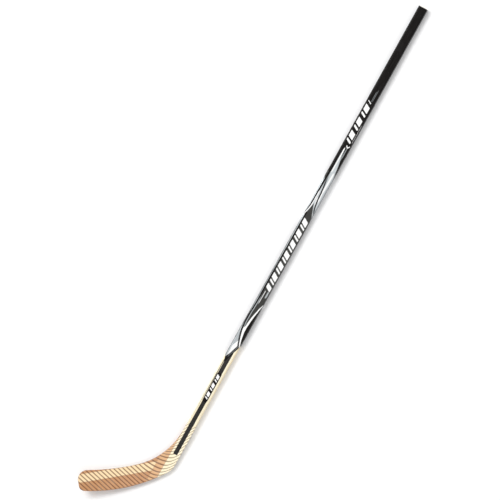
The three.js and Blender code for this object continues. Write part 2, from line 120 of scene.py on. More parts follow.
def sole_edge(offset=0.0):
    """Shaft's outer edge, heel round, rocker and toe corner: arcs that meet without a kink."""
    down = -math.pi / 2
    heel_centre = np.array([HEEL_START, HEEL_RADIUS - WOOD_HALF])
    heel_end = down - HEEL_TURN
    sole_centre = heel_centre + polar(HEEL_RADIUS - SOLE_RADIUS, heel_end)
    reach = SOLE_RADIUS - TOE_RADIUS_SOLE
    sole_end = toe_handover(sole_centre, reach, TOE_RADIUS_SOLE)
    corner_centre = sole_centre + polar(reach, sole_end)
    return np.concatenate(
        [
            [[LENGTH, -WOOD_HALF - offset]],
            arc(heel_centre, HEEL_RADIUS + offset, down, heel_end),
            arc(sole_centre, SOLE_RADIUS + offset, heel_end, sole_end - 2 * math.pi),
            arc(corner_centre, TOE_RADIUS_SOLE + offset, sole_end, BLADE_ANGLE),
        ]
    )


def top_edge(offset=0.0):
    """Shaft's inner edge, throat, hollow top edge and toe corner."""
    down = -math.pi / 2
    throat_centre = np.array([THROAT_START, THROAT_RADIUS + WOOD_HALF])
    throat_end = down - THROAT_TURN
    top_centre = throat_centre + polar(THROAT_RADIUS - TOP_RADIUS, throat_end)
    reach = TOP_RADIUS + TOE_RADIUS_TOP
    top_end = toe_handover(top_centre, reach, TOE_RADIUS_TOP)
    corner_centre = top_centre + polar(reach, top_end)
    return np.concatenate(
        [
            [[LENGTH, WOOD_HALF + offset]],
            arc(throat_centre, THROAT_RADIUS - offset, down, throat_end),
            arc(top_centre, TOP_RADIUS - offset, throat_end, top_end - 2 * math.pi),
            arc(corner_centre, TOE_RADIUS_TOP + offset, top_end - math.pi, BLADE_ANGLE),
        ]
    )


def thickness_at(plan):
    """Full on the shaft, easing down to the blade, which thins evenly a little more from heel to toe."""
    along = np.clip(plan @ RUN / TOE, 0, 1)
    blade = BLADE_THICK[0] + (BLADE_THICK[1] - BLADE_THICK[0]) * along
    return blade + (WOOD_THICK - blade) * ease(*TAPER, plan[..., 0])


def curve_at(plan):
    """Rise of the blade out of its plane: past CURVE_START, the square of the run over twice the radius."""
    return np.maximum(plan @ RUN - CURVE_START, 0) ** 2 / (2 * CURVE_RADIUS)


def distance_to(plan, line):
    """Distance of each plan point from a line of points: the least over its straight pieces."""
    start, step = line[:-1], np.diff(line, axis=0)
    flat = plan.reshape(-1, 2)
    nearest = np.full(len(flat), np.inf)
    for a, d in zip(start, step):
        t = np.clip((flat - a) @ d / (d @ d), 0, 1)[:, None]
        nearest = np.minimum(nearest, np.linalg.norm(flat - a - t * d, axis=1))
    return nearest.reshape(plan.shape[:-1])


# ------------------------------------------------------------------ meshes


def make_mesh(name, points, faces, attributes=None, uv=None, sharp=40):
    """A piece from vertex and quad arrays, with point attributes and a UV map that follows its vertices."""
    a, b, c = (points[faces[:, k]] for k in range(3))
    d = points[faces[:, 3]]
    volume = np.einsum("ij,ij->i", a, np.cross(b, c)) + np.einsum("ij,ij->i", a, np.cross(c, d))
    if volume.sum() < 0:
        faces = faces[:, ::-1]
    mesh = bpy.data.meshes.new(name)
    mesh.from_pydata(points.tolist(), [], faces.tolist())
    for key, values in (attributes or {}).items():
        layer = mesh.attributes.new(key, "FLOAT", "POINT")
        layer.data.foreach_set("value", np.asarray(values, np.float32).ravel())
    if uv is not None:
        corner = np.empty(len(mesh.loops), np.int32)
        mesh.loops.foreach_get("vertex_index", corner)
        layer = mesh.uv_layers.new(name="Print")
        layer.data.foreach_set("uv", uv[corner].astype(np.float32).ravel())
    mesh.polygons.foreach_set("use_smooth", np.ones(len(mesh.polygons), bool))
    mesh.set_sharp_from_angle(angle=math.radians(sharp))
    mesh.update()
    piece = bpy.data.objects.new(name, mesh)
    bpy.context.scene.collection.objects.link(piece)
    return piece


def tube_faces(rows, size, looped):
    """Quads between neighbouring rings, each ring closed. A looped tube also joins its last ring to its
    first. Otherwise each end ring, which runs out along one side and back along the other, is zipped shut."""
    spans = rows if looped else rows - 1
    i, j = np.meshgrid(np.arange(spans), np.arange(size), indexing="ij")
    k = (j + 1) % size
    n = (i + 1) % rows
    wall = np.stack([i * size + j, i * size + k, n * size + k, n * size + j], axis=-1).reshape(-1, 4)
    if looped:
        return wall
    j = np.arange(size // 2 - 1)
    zipped = np.stack([j, size - 1 - j, size - 2 - j, j + 1], axis=-1)
    return np.concatenate([wall, zipped, zipped[:, ::-1] + (rows - 1) * size])


def tube(name, rings, looped=False, attributes=None, uv=None, sharp=40):
    """A closed piece through rings of points given in the heel's frame."""
    rows, size = rings.shape[:2]
    points = rings.reshape(-1, 3) - [LENGTH / 2, 0, 0]
    uv = None if uv is None else uv.reshape(-1, 2)
    return make_mesh(name, points, tube_faces(rows, size, looped), attributes, uv, sharp)


def on_back(rings):
    """The same rings mirrored in the shaft's middle plane."""
    return np.stack([rings[..., 0], rings[..., 1], THICKNESS - rings[..., 2]], axis=-1)


# ------------------------------------------------------------------ shaft plies and strips

HEEL_CORNER = 0.00035  # the shaft's corners are nearly square down at the heel
STRIP_PROUD, STRIP_BEVEL, STRIP_DEPTH = 0.00015, 0.0004, 0.0012


def thick_on_shaft(x):
    """The shaft's thickness at distances from the heel, on its centreline."""
    return thickness_at(np.stack([x, np.zeros_like(x)], axis=-1))


def half_width(x, height):
    """Half the shaft's width at a height over its middle plane: full, then a quarter round to the face."""
    radius = HEEL_CORNER + (CORNER - HEEL_CORNER) * ease(THROAT_START, TAPER[1], x)
    over = np.clip(height - (thick_on_shaft(x) / 2 - radius), 0, radius)
    return WOOD_HALF - radius + np.sqrt(radius**2 - over**2)


def ply_rings(stations, low, high, steps=14):
    """Rings of one ply between two heights. The rows between are spaced by a sine, close together near the
    face. The outer side is drawn in to the heel's round where that is the narrower."""
    x = stations[:, None]
    face = thick_on_shaft(x) / 2
    share = np.sin(np.linspace(0, math.pi / 2, steps))[None, :]
    height = low + (np.minimum(high, face) - low) * share
    sole = sole_edge()[1:]
    heel = np.interp(-x, -sole[:, 0], -sole[:, 1])
    side = half_width(x, height)
    outer = np.where(x < HEEL_START, np.minimum(heel, side), side)
    spread = np.broadcast_to(x, height.shape)
    right = np.stack([spread, -outer, MIDDLE + height], axis=-1)
    left = np.stack([spread, side, MIDDLE + height], axis=-1)
    return np.concatenate([right, left[:, ::-1]], axis=1)


def strip_stand(x):
    """How far a strip stands over the wood: barely on the shaft, and over the sock's wall where it crosses
    that, with an easing between the two just past the sock's upper end."""
    over_sock = SOCK_STAND + SOCK_WALL + 0.0001
    return STRIP_PROUD + over_sock * (1 - ease(SOCK_TOP + 0.002, SOCK_TOP + 0.014, x))


def strip_rings():
    """A flat strip let into the face: a bevelled rectangle that follows the face's height plus its stand."""
    end = STRIP_START + np.array([0, STRIP_BEVEL])
    x = np.concatenate([end, np.linspace(STRIP_START + 0.001, TAPER[1], 90), [LENGTH]])[:, None]
    face = thick_on_shaft(x) / 2 + strip_stand(x)
    inset = np.where(x <= STRIP_START, STRIP_BEVEL, 0)
    flat = STRIP_HALF - STRIP_BEVEL
    y = np.array([-STRIP_HALF, -STRIP_HALF, -flat, flat, STRIP_HALF, STRIP_HALF])
    down = np.array([STRIP_DEPTH, STRIP_BEVEL, 0, 0, STRIP_BEVEL, STRIP_DEPTH])
    z = face - down - inset
    return np.stack(np.broadcast_arrays(x, y[None, :], MIDDLE + z), axis=-1)


# ------------------------------------------------------------------ printed film

FLAT_HALF = HALF_WIDTH - CORNER  # flat part of the wide face, each side of its centreline
CORNER_ARC = CORNER * math.pi / 2
SIDE_HALF = THICKNESS / 2 - CORNER
FOLD = FLAT_HALF + CORNER_ARC + SIDE_HALF  # round the girth, from the face's middle to the narrow side's
FILM_WALL = 0.0003  # the film without its adhesive
FILM_ROWS, FILM_COLUMNS = 1100, 88
LABEL_SPAN = (0.258, 0.356)  # from the heel
LABEL_HALF, LABEL_RISE, LABEL_WALL = 0.0074, 0.00018, 0.0003

# The print's construction points, in millimetres: distance from the butt, then place across the face.
LEAD_LINE = [(474, 0.6), (540, 0.4), (600, 1.0)]
FIELD_LOW = [(505, -3.5), (525, -7.0), (545, -10.0), (566, -13), (590, -20)]
FIELD_HIGH = [(466, 2.6), (571, 3.2), (620, 4.8), (700, 8)]
# GLINT: a painted highlight, a white streak down the silver field.
GLINT = [(560, -8), (600, -7), (640, -6), (668, -9)]
UPPER_LINE = [(567, 6.3), (597, 7.7), (660, 8.3), (680, 9.0), (696, 11.4), (706, 14.5), (712, 17)]
SECOND_LINE = [
    *((560, 3.4), (577, 2.5), (600, 0.6), (612, -0.8), (628, -2.6)),
    *((657, -4.6), (672, -6.8), (687, -10.5), (703, -16)),
]
FORK_RIGHT = [(640, 0.5), (652, -0.6), (664, -2.8), (681, -8), (699, -13), (706, -15.5)]
FORK_LEFT = [(600, 4.8), (613, 4.5), (658, 4.8), (681, 6.2), (699, 10.5), (717, 15.5)]
LONG_LINE = [
    *((705, 7.8), (783, 8.0), (960, 8.3), (1010, 8.1), (1047, 9.4), (1076, 9.3)),
    *((1092, 8.0), (1106, 5.6), (1121, 1.6), (1136, -3.3), (1148, -7.4), (1159, -13)),
]
TAIL_LINE = [(962, 0.2), (1010, 0.6)]
SWEEP = [
    *((1006, -16), (1018, -11.5), (1033, -8.6), (1047, -5.6), (1076, -2.0), (1092, -1.0)),
    *((1106, -1.8), (1121, -4.6), (1136, -8.4), (1146, -12), (1152, -16)),
]
STREAK = [(985, 3.8), (1015, 4.6), (1047, 6.2), (1076, 5.6), (1094, 3.0)]

# Lines that run across the face instead: place across it, then distance from the butt.
SLASH = [(-23, 1112), (-14, 1128), (-11.8, 1134), (-2.9, 1158), (4.8, 1180), (14, 1196), (23, 1210)]
CUT_EDGE = [
    *((-23, 1141), (-14, 1150), (-11.8, 1156), (-2.9, 1181), (4.8, 1205)),
    *((7, 1207), (9.7, 1198), (14, 1188), (23, 1183)),
]

# Rows of bars: the bars' widths and the gaps between them by turns, relative to one another.
UPPER_BARS = [15, 5, 5, 9, 15, 5, 5, 9, 15, 5, 5]
MIDDLE_BARS = [17, 5, 6, 9] * 6 + [14]
LABEL_BARS = [12, 4, 4, 8, 12, 4, 4, 8, 12, 4, 4]


def section_at(girth):
    """Where a girth distance lies on the shaft's section: flat face, quarter round, narrow side, and back.
    Gives Y, the height over the middle plane, and the girth folded back onto the front."""
    folded = np.where(np.abs(girth) > FOLD, 2 * FOLD - np.abs(girth), np.abs(girth))
    turn = np.clip((folded - FLAT_HALF) / CORNER, 0, math.pi / 2)
    side = np.clip(folded - FLAT_HALF - CORNER_ARC, 0, None)
    y = np.minimum(folded, FLAT_HALF) + CORNER * np.sin(turn)
    z = THICKNESS / 2 - CORNER * (1 - np.cos(turn)) - side
    return np.sign(girth) * y, np.where(np.abs(girth) > FOLD, -z, z), np.sign(girth) * folded


def flowing(knots, at):
    """A smooth line through a few set points: cubic pieces, each point's slope being its neighbours'."""
    place, value = np.array(knots, float).T
    slope = np.gradient(value, place)
    i = np.clip(np.searchsorted(place, at) - 1, 0, len(place) - 2)
    step = place[i + 1] - place[i]
    t = np.clip((at - place[i]) / step, 0, 1)
    start = (1 + 2 * t) * (1 - t) ** 2 * value[i] + t * (1 - t) ** 2 * step * slope[i]
    end = t * t * (3 - 2 * t) * value[i + 1] + t * t * (t - 1) * step * slope[i + 1]
    return start + end


def line_mask(across, centre, half, soft=0.5):
    """1 within half of a centre line, 0 beyond."""
    return 1 - ease(half - soft, half + soft, np.abs(across - centre))


def over_line(value, line, soft=0.5):
    """1 where a value lies over a line's, 0 under it."""
    return ease(-soft, soft, value - line)


def stretch(at, start, end, soft=1.5):
    """1 between two places along the shaft."""
    return ease(start - soft, start + soft, at) * (1 - ease(end - soft, end + soft, at))


def slanted_bars(at, across, span, height, widths, lean):
    """A row of plain leaning bars, with the given relative widths and gaps between them."""
    start, end = span
    low, high = height
    edges = start + (end - start) * np.cumsum([0, *widths]) / sum(widths)
    leaned = at - lean * (across - (low + high) / 2)
    bars = [stretch(leaned, a, b, 0.8) for a, b in zip(edges[0::2], edges[1::2])]
    return np.maximum.reduce(bars) * line_mask(across, (low + high) / 2, (high - low) / 2)


def before_slash(at, across):
    """1 on the printed side of the slanted stroke that closes the print, 0 on its black end."""
    return 1 - over_line(at, flowing(SLASH, across), 1)


def sweep_half(at):
    """Half the width of the sweep, which swells towards its middle."""
    return 1.5 + 1.3 * stretch(at, 1040, 1120, 30)


def dark_stroke(at, across):
    """The dark line that parts the silver field from the fork."""
    return line_mask(across, flowing(SECOND_LINE, at), 2.2) * stretch(at, 580, 706, 24)


def white_ink(at, across):
    """White: the bars and strokes in place of marks, thin lines, the fork, the sweep, the light beside it,
    and a painted glint on the silver field.
    """
    long_line, sweep, half = flowing(LONG_LINE, at), flowing(SWEEP, at), sweep_half(at)
    closed = before_slash(at, across)
    over_long = over_line(across, long_line + 2.2) * ease(-2, 2, at - 1124 - 2.4 * (across + 4)) * closed
    inside = over_line(across, sweep + half, 0.4) * over_line(long_line - 2.5, across, 0.4)
    marks = [
        slanted_bars(at, across, (335, 457), (-6.8, 8.6), UPPER_BARS, -0.55),
        slanted_bars(at, across, (722, 958), (-12, 4.6), MIDDLE_BARS, -0.6),
        line_mask(at + 0.55 * (across - 2), 323, 1.4) * line_mask(across, 2, 6),
        line_mask(at, 475 - 1.1 * np.abs(across + 6.0), 2.2) * line_mask(across, -6.0, 5.5),
    ]
    lines = [
        line_mask(across, flowing(LEAD_LINE, at), 1.9) * stretch(at, 478, 560, 10),
        line_mask(across, flowing(FORK_RIGHT, at), 1.5) * stretch(at, 645, 709, 6),
        line_mask(across, flowing(FORK_LEFT, at), 1.4) * stretch(at, 625, 716, 10),
        line_mask(across, sweep, half) * stretch(at, 1006, 1150),
        line_mask(across, flowing(TAIL_LINE, at), 0.9) * stretch(at, 964, 1008, 3) * 0.9,
        line_mask(across, -11.6, 0.6) * stretch(at, 394, 460, 8) * 0.7,
        # Painted highlight: the glint down the silver field.
        line_mask(across, flowing(GLINT, at), 2.6) * stretch(at, 562, 660, 14),
    ]
    lights = [over_long * (1 - ease(7, 9, across)), inside * ease(1078, 1096, at) * closed * 0.75]
    return np.maximum.reduce(marks + lines + lights)


def silver_ink(at, across):
    """Silver: the long field up to its wedge-shaped end, the band over the outlines, and a few streaks."""
    wedge = 666 + np.where(across < 1.5, 39 * (1.5 - across) / 14.5, 50 * (across - 1.5) / 9.5)
    field = over_line(across, flowing(FIELD_LOW, at)) * over_line(flowing(FIELD_HIGH, at), across)
    field = field * stretch(at, 500, 800, 20) * (1 - over_line(at, wedge, 1.2))
    outline = np.where(at < 708, flowing(UPPER_LINE, at), flowing(LONG_LINE, at))
    band = over_line(across, outline + 2.0) * ease(-7, 7, at - 590 + 1.2 * (across - 8))
    band = band * before_slash(at, across) * (1 - 0.25 * ease(700, 760, at))
    streaks = [
        line_mask(across, -6.4, 1.1) * stretch(at, 478, 512, 8) * 0.6,
        line_mask(across, -4.6, 0.5) * stretch(at, 281, 318, 3) * 0.45,
        line_mask(across, -1.6, 0.5) * stretch(at, 287, 320, 3) * 0.45,
        line_mask(across, -9.6, 2.0) * stretch(at, 964, 984) * 0.8,
        line_mask(across, flowing(STREAK, at), 1.1) * stretch(at, 990, 1092, 16) * 0.75,
        line_mask(at, flowing(SLASH, across) + 11, 2.0) * (1 - ease(3, 5, across)) * 0.35,
    ]
    return np.maximum.reduce([field, band, *streaks])


def black_ink_and_shade(at, across):
    """Black: the shaft's upper end, the outlines, the blade-side edge of the face, what lies past the slash,
    and a painted shade that darkens the outer corner and narrow side.
    """
    closed = before_slash(at, across)
    beside_sweep = 1 - over_line(across, flowing(SWEEP, at) - sweep_half(at), 0.6)
    return np.maximum.reduce(
        [
            1 - over_line(at, 560, 1),
            line_mask(across, flowing(UPPER_LINE, at), 2.4) * stretch(at, 560, 710),
            line_mask(across, flowing(LONG_LINE, at), 2.4) * stretch(at, 700, 1160),
            dark_stroke(at, across),
            beside_sweep * stretch(at, 1016, 1160) * closed,
            (1 - closed) * 0.85,
            ease(11.4, 12.6, across) * ease(700, 760, at) * 0.85,
            # Painted shade: the outer corner and narrow side darkened towards black over the charcoal.
            (1 - ease(-13.6, -12.4, across)) * ease(560, 600, at) * 0.4,
        ]
    )


def film_print(at, across):
    """Masks of the film's inks at distances from the butt and across the face, in millimetres. The greatest
    of an ink's strokes counts. Black keeps silver off, and the dark stroke parts the white. Black also
    carries a painted shade on the outer side, and white a painted glint."""
    black = black_ink_and_shade(at, across)
    silver = silver_ink(at, across) * (1 - black * ease(560, 566, at) * before_slash(at, across))
    white = white_ink(at, across) * (1 - dark_stroke(at, across))
    return {"ink_white": white, "ink_silver": silver, "ink_black": black}


def film_piece():
    """The film's sleeve: a grid of girth and length outside, a plain wall inside, joined at both ends. Each
    line of the grid ends at the film's cut lower edge, which slants over the outer edge of the face."""
    girths = np.linspace(-2 * FOLD, 2 * FOLD, FILM_COLUMNS, endpoint=False) + 2 * FOLD / FILM_COLUMNS
    y, z, folded = section_at(girths)
    end = flowing(CUT_EDGE, folded / MM) * MM
    distance = np.linspace(0, 1, FILM_ROWS)[:, None] * end[None, :]
    distance, girths, y, z, folded = np.broadcast_arrays(distance, girths, y, z, folded)
    outer = np.stack([LENGTH - distance, y, z + MIDDLE], axis=-1)
    half_thick = THICKNESS / 2
    shrink = np.array([1, (HALF_WIDTH - FILM_WALL) / HALF_WIDTH, (half_thick - FILM_WALL) / half_thick])
    inner = (outer[[-1, 0]] - [0, 0, MIDDLE]) * shrink + [0, 0, MIDDLE]
    inks = film_print(distance / MM, folded / MM)
    inks = {key: np.concatenate([mask, mask[[-1, 0]]]) for key, mask in inks.items()}
    flat = np.stack([distance, girths], axis=-1)
    flat = np.concatenate([flat, flat[[-1, 0]]])
    return tube("printed_film", np.concatenate([outer, inner]), looped=True, attributes=inks, uv=flat)


def label_piece():
    """The small dark label over the front strip: a thin slab with leaning bars. Its ends are rounded like a
    superellipse of power ten, and its long edges drop by a sixth power."""
    start, end = LABEL_SPAN
    power, end_half, edge_drop = 10, 0.0002, 0.0001
    bend = np.sin(np.linspace(-1, 1, 160) * math.pi / 2)
    width = LABEL_HALF * (1 - np.abs(bend) ** power) ** (1 / power) + end_half
    side = np.sin(np.linspace(-1, 1, 33) * math.pi / 2)[None, :]
    y = width[:, None] * side
    x = np.broadcast_to(((start + end) / 2 + (end - start) / 2 * bend)[:, None], y.shape)
    lift = MIDDLE + thick_on_shaft(x) / 2 + LABEL_RISE - edge_drop * np.abs(side) ** 6
    top = np.stack([x, y, lift], axis=-1)
    under = np.stack([x, y, lift - LABEL_WALL], axis=-1)
    rings = np.concatenate([top, under[:, ::-1]], axis=1)
    bars = slanted_bars((LENGTH - x) / MM, y / MM, (1252, 1330), (-4.4, 4.4), LABEL_BARS, -0.5)
    white = np.concatenate([bars, np.zeros_like(bars)], axis=1)
    inks = {"ink_white": white, "ink_silver": np.zeros_like(white), "ink_black": np.ones_like(white)}
    flat = np.stack([LENGTH - rings[..., 0], rings[..., 1]], axis=-1)
    return tube("heel_label", rings, attributes=inks, uv=flat)


# ------------------------------------------------------------------ ribbed glass sock

BEND = math.pi - BLADE_ANGLE  # how far the sock's middle line turns, from shaft to blade
BEND_START = (BLADE_MIDDLE + SPINE_RADIUS * (1 - math.cos(BEND))) / math.sin(BEND)
SHAFT_RUN = SOCK_TOP - BEND_START  # along the middle line from the sock's upper end, as are all stations
SOCK_FEATHER, SOCK_EDGE = 0.008, 0.0001  # its upper end thins out over the one, down to the other
ROVING_RELIEF = 0.00042
ROVING_PITCH, HEEL_PITCH = 0.0125, 0.0040  # along the straights, and what the heel adds
ROVING_SLANT, SHAFT_SLANT = 0.78, 1.0  # along the blade, and what the shaft adds
ROVING_TRAIL = 45  # how strongly they trail back on the outside of the bend, per metre
SEAM_SOFT = 0.0004
SOCK_COLUMNS, OUTER_ROWS, INNER_ROWS = 64, 620, 40
TOE_SHORT = 1e-6  # the last row stays this far short of the toe's line, to meet both edges


def spine(stations):
    """The middle line at its stations: straight down the shaft, a bend, straight to the toe. Gives the plan
    points and how far the line has turned."""
    turn = np.clip((stations - SHAFT_RUN) / SPINE_RADIUS, 0, BEND)
    points = np.array([BEND_START, SPINE_RADIUS]) + polar(SPINE_RADIUS, -math.pi / 2 - turn)
    before = np.minimum(stations - SHAFT_RUN, 0)
    after = np.maximum(stations - SHAFT_RUN - SPINE_RADIUS * BEND, 0)
    return points - before[:, None] * [1, 0] + after[:, None] * RUN, turn


def meet(line, points, heading):
    """Where each section line through a point, square to its heading, meets an edge: the first place where
    the edge passes from behind that line to ahead of it, by straight shares between its points."""
    side = np.einsum("ijk,ik->ij", line[None, :, :] - points[:, None, :], heading)
    i = np.argmax((side[:, :-1] <= 0) & (side[:, 1:] > 0), axis=1)
    rows = np.arange(len(points))
    a, b = side[rows, i], side[rows, i + 1]
    share = np.clip(-a / np.where(b == a, 1, b - a), 0, 1)[:, None]
    return line[i] + share * (line[i + 1] - line[i])


def bell(stations, centre, reach):
    """1 at a centre station, falling off on both sides as e to the minus square."""
    return np.exp(-(((stations - centre) / reach) ** 2))


def roving_phase(stations, offset):
    """Counts the rovings: the running sum of one over their pitch, read at each point's station less its
    lag. They lie at a slant to the middle line, steeper on the shaft, and trail back outside the bend."""
    pitch = ROVING_PITCH + HEEL_PITCH * bell(stations, 0.150, 0.055)
    beyond = 0.1
    count = np.concatenate([[0], np.cumsum(np.diff(stations) / ((pitch[1:] + pitch[:-1]) / 2))])
    known = np.concatenate([[stations[0] - beyond], stations, [stations[-1] + beyond]])
    count = np.concatenate([[-beyond / pitch[0]], count, [count[-1] + beyond / pitch[-1]]])
    slant = ROVING_SLANT + SHAFT_SLANT * (1 - ease(0.050, 0.150, stations))
    outside = np.maximum(-offset - 0.004, 0)
    lag = slant[:, None] * offset - ROVING_TRAIL * bell(stations, 0.120, 0.050)[:, None] * outside**2
    return np.interp((stations[:, None] - lag).ravel(), known, count).reshape(offset.shape)


def woods_below(plan):
    """Masks of the woods and glue lines that show through the sock, from each point's place in plan."""
    rise, y = plan @ RISE, plan[..., 1]
    low, high = GLUE_LINES
    past_block = over_line(y, BLOCK_EDGE, SEAM_SOFT)
    past_shaft = over_line(y, WOOD_HALF, SEAM_SOFT)
    glue = [
        past_block * line_mask(rise, low, 0.0004, 0.0003),
        past_block * line_mask(rise, high, 0.0004, 0.0003),
        line_mask(y, BLOCK_EDGE, 0.0005, 0.0004),
        line_mask(y, WOOD_HALF, 0.0005, 0.0004),
    ]
    return {
        "along": plan @ RUN,
        "boards": past_block,
        "block": past_shaft * (1 - past_block),
        "cream": past_block * over_line(rise, low, SEAM_SOFT) * over_line(high, rise, SEAM_SOFT),
        "glue": np.maximum.reduce(glue),
    }


def sock_layer(stations, stand, relief):
    """One wall of the sock: straight rows from edge to edge, spaced partly by a cosine, closer at the edges.
    They are lifted by the wood's thickness, rounded off towards the outline, and by the rovings' relief.
    Gives the wall's rings and its masks."""
    points, turn = spine(stations)
    heading = -polar(1, -turn)
    sole, top = sole_edge(stand), top_edge(stand)
    low, high = meet(sole, points, heading), meet(top, points, heading)
    feather = ((1 - ease(0, SOCK_FEATHER, stations)) * max(stand - SOCK_STAND - SOCK_EDGE, 0))[:, None]
    reach = (high - low) / np.linalg.norm(high - low, axis=1)[:, None]
    low, high = low + reach * feather, high - reach * feather
    even = np.linspace(0, 1, SOCK_COLUMNS)
    share = (0.55 * even + 0.45 * (0.5 - 0.5 * np.cos(math.pi * even)))[None, :, None]
    plan = low[:, None] + (high - low)[:, None] * share

    beside = [np.linalg.norm(plan - edge[:, None], axis=2) for edge in (low, high)]
    rim = distance_to(plan, np.concatenate([sole[1:], top[:0:-1]]))
    rim = np.where(plan[..., 0] > THROAT_START, np.minimum(*beside), rim)
    thick = thickness_at(plan) + 2 * (stand - feather)
    radius = np.minimum(0.46 * thick, SOCK_ROUND + stand)
    inward = np.maximum(radius - rim, 0)
    half = thick / 2 - radius + np.sqrt(np.maximum(radius**2 - inward**2, 0))

    sideways = np.stack([heading[:, 1], -heading[:, 0]], axis=1)
    phase = roving_phase(stations, np.einsum("ijk,ik->ij", plan - points[:, None], sideways))
    groove = np.abs((phase % 1) - 0.5) * 2
    rope = 1 - ease(0.45, 0.92, groove)
    round_off = 1 - np.sqrt(np.clip(1 - (inward / radius) ** 2, 0, 1))
    fade = ease(0.0, 0.014, stations)[:, None] * (1 - ease(0, 0.45, round_off))
    under_strip = ease(STRIP_START - 0.002, STRIP_START, plan[..., 0])
    under_strip = under_strip * (1 - ease(STRIP_HALF, STRIP_HALF + 0.0012, np.abs(plan[..., 1])))
    crown = 0.6 * rope + 0.4 * np.sqrt(np.clip(1 - groove**2, 0, 1))
    z = half + relief * fade * (1 - under_strip) * crown

    base = MIDDLE + curve_at(plan)
    front = np.concatenate([plan, (base + z)[..., None]], axis=-1)
    back = np.concatenate([plan, (base - z)[..., None]], axis=-1)
    # rim is 1 near the outline; the sock's material paints shade there.
    masks = {"rope": rope, "phase": phase, "rim": 1 - ease(0.0, 0.0026, rim), **woods_below(plan)}
    masks = {key: np.concatenate([mask, mask[:, ::-1]], axis=1) for key, mask in masks.items()}
    return np.concatenate([front, back[:, ::-1]], axis=1), masks


def sock_stations(stand, rows):
    """Stations from the sock's upper end to just short of the toe's line, drawn together there by a sine."""
    bend_end = SHAFT_RUN + SPINE_RADIUS * BEND
    blade_run = TOE + stand - (spine(np.array([bend_end]))[0] @ RUN)[0]
    straight_end = bend_end + blade_run - TOE_RADIUS_TOP
    rounded = TOE_RADIUS_TOP * np.sin(np.linspace(0, math.pi / 2, rows // 8))[1:]
    return np.concatenate([np.linspace(0, straight_end, rows), straight_end - TOE_SHORT + rounded])


def sock_piece():
    """The sock as a bag: an outer ribbed wall from toe to shaft, then a plain inner wall back to the toe."""
    stand = SOCK_STAND + SOCK_WALL
    outer, outer_masks = sock_layer(sock_stations(stand, OUTER_ROWS), stand, ROVING_RELIEF)
    inner, inner_masks = sock_layer(sock_stations(SOCK_STAND, INNER_ROWS), SOCK_STAND, 0.0)
    masks = {key: np.concatenate([mask[::-1], inner_masks[key]]) for key, mask in outer_masks.items()}
    return tube("ribbed_sock", np.concatenate([outer[::-1], inner]), attributes=masks, sharp=60)


# ------------------------------------------------------------------ shader building blocks


def new_material(name):
    """A material with a Principled shader; gives the material, its tree and the shader."""
    material = bpy.data.materials.new(name)
    material.use_nodes = True
    tree = material.node_tree
    shader = next(n for n in tree.nodes if n.type == "BSDF_PRINCIPLED")
    return material, tree, shader


def put(tree, socket, value):
    """Sets a socket's value, or links another node's socket to it."""
    if isinstance(value, bpy.types.NodeSocket):
        tree.links.new(value, socket)
    else:
        socket.default_value = value


def add(tree, kind, settings=None, **inputs):
    """A node with its settings and inputs."""
    made = tree.nodes.new(kind)
    for key, value in (settings or {}).items():
        setattr(made, key, value)
    for key, value in inputs.items():
        put(tree, made.inputs[key], value)
    return made


def object_place(tree):
    """Each point's place in the shared frame."""
    return add(tree, "ShaderNodeTexCoord").outputs["Object"]


def mapped(tree, vector, scale=(1.0, 1.0, 1.0), turn=0.0):
    """A place turned about Z and stretched, for a pattern to lie along something."""
    return add(tree, "ShaderNodeMapping", Vector=vector, Scale=scale, Rotation=(0.0, 0.0, turn)).outputs[0]


def noise(tree, vector, scale=1.0, detail=3.0, **more):
    """A soft random pattern about 0.5."""
    return add(tree, "ShaderNodeTexNoise", Vector=vector, Scale=scale, Detail=detail, **more).outputs["Fac"]


def attribute(tree, name):
    """A mask carried by the mesh's points."""
    return add(tree, "ShaderNodeAttribute", {"attribute_name": name}).outputs["Fac"]


def maths(tree, operation, a, b=0.0, clamp=False):
    """One sum on two values."""
    made = add(tree, "ShaderNodeMath", {"operation": operation, "use_clamp": clamp})
    put(tree, made.inputs[0], a)
    put(tree, made.inputs[1], b)
    return made.outputs[0]


def times(tree, a, b):
    """a multiplied by b."""
    return maths(tree, "MULTIPLY", a, b)


def plus(tree, a, b, clamp=False):
    """a and b added."""
    return maths(tree, "ADD", a, b, clamp)


def minus(tree, a, b, clamp=False):
    """b taken from a."""
    return maths(tree, "SUBTRACT", a, b, clamp)


def mix(tree, share, a, b):
    """Colour a where share is 0, colour b where it is 1."""
    made = add(tree, "ShaderNodeMix", {"data_type": "RGBA"})
    put(tree, made.inputs["Factor"], share)
    put(tree, made.inputs[6], a)
    put(tree, made.inputs[7], b)
    return made.outputs[2]


def spread_to(tree, value, low, high, to_low, to_high):
    """Maps a value's range smoothly onto another."""
    made = add(tree, "ShaderNodeMapRange", {"interpolation_type": "SMOOTHSTEP"})
    for socket, given in zip(made.inputs[:5], (value, low, high, to_low, to_high)):
        put(tree, socket, given)
    return made.outputs[0]


def new_group(name, inputs, outputs):
    """An empty shader group with float or vector inputs and float outputs."""
    tree = bpy.data.node_groups.new(name, "ShaderNodeTree")
    for key, (kind, value) in inputs.items():
        socket = tree.interface.new_socket(name=key, in_out="INPUT", socket_type="NodeSocket" + kind)
        if kind == "Float":
            socket.default_value = value
    for key in outputs:
        tree.interface.new_socket(name=key, in_out="OUTPUT", socket_type="NodeSocketFloat")
    return tree, tree.nodes.new("NodeGroupInput").outputs, tree.nodes.new("NodeGroupOutput").inputs


